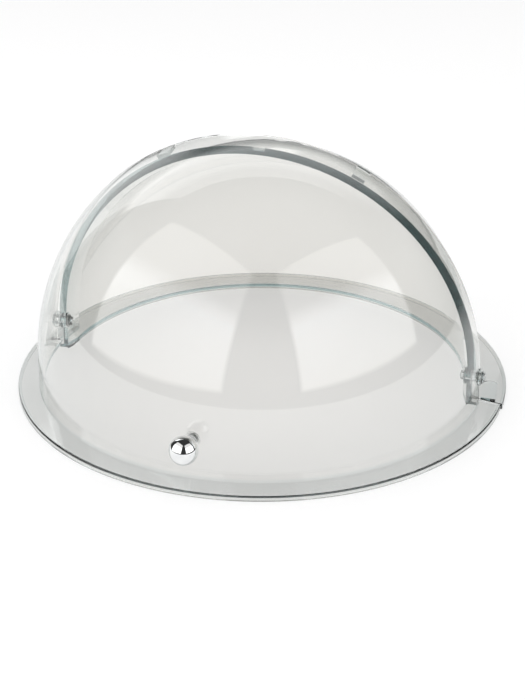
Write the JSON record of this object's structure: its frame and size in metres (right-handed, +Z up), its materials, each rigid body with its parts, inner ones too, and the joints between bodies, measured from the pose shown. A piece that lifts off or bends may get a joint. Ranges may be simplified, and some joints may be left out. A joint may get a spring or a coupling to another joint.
{
  "type": "roll-top food cover",
  "caption": "Clear domed food cover: a front lid with a ball knob rolls back on side pivots over a fixed rear dome, each with half of a flat round rim.",
  "frame": {"origin": "middle of the whole cover, knob included, on the table", "axes": "+Z up, -Y towards the front with the knob, X along the hinge line"},
  "size_m": [0.4396, 0.4524, 0.2338],
  "materials": {
    "clear_shell": "clear, polished",
    "clear_fitting": "clear, polished",
    "soft_ring": "frosted clear",
    "chrome": "polished"
  },
  "bodies": {
    "base": {"rear_dome": "clear_shell", "pivot_bolt_right": "clear_fitting", "pivot_bolt_left": "clear_fitting", "spacer_bush_right": "clear_fitting", "spacer_bush_left": "clear_fitting", "head_washer_right": "soft_ring", "head_washer_left": "soft_ring", "nut_washer_right": "soft_ring", "nut_washer_left": "soft_ring", "cap_nut_right": "clear_fitting", "cap_nut_left": "clear_fitting"},
    "lid": {"front_lid": "clear_shell", "knob_ball": "chrome", "knob_neck": "chrome", "knob_gasket": "soft_ring", "knob_washer": "soft_ring", "knob_screw": "chrome"}
  },
  "joints": [
    {"name": "lid_roll", "type": "hinge", "parent": "base", "child": "lid", "pos_m": [0, 0.00623, 0.0335], "axis": [-1, 0, 0], "range_deg": [0, 93.5]}
  ]
}
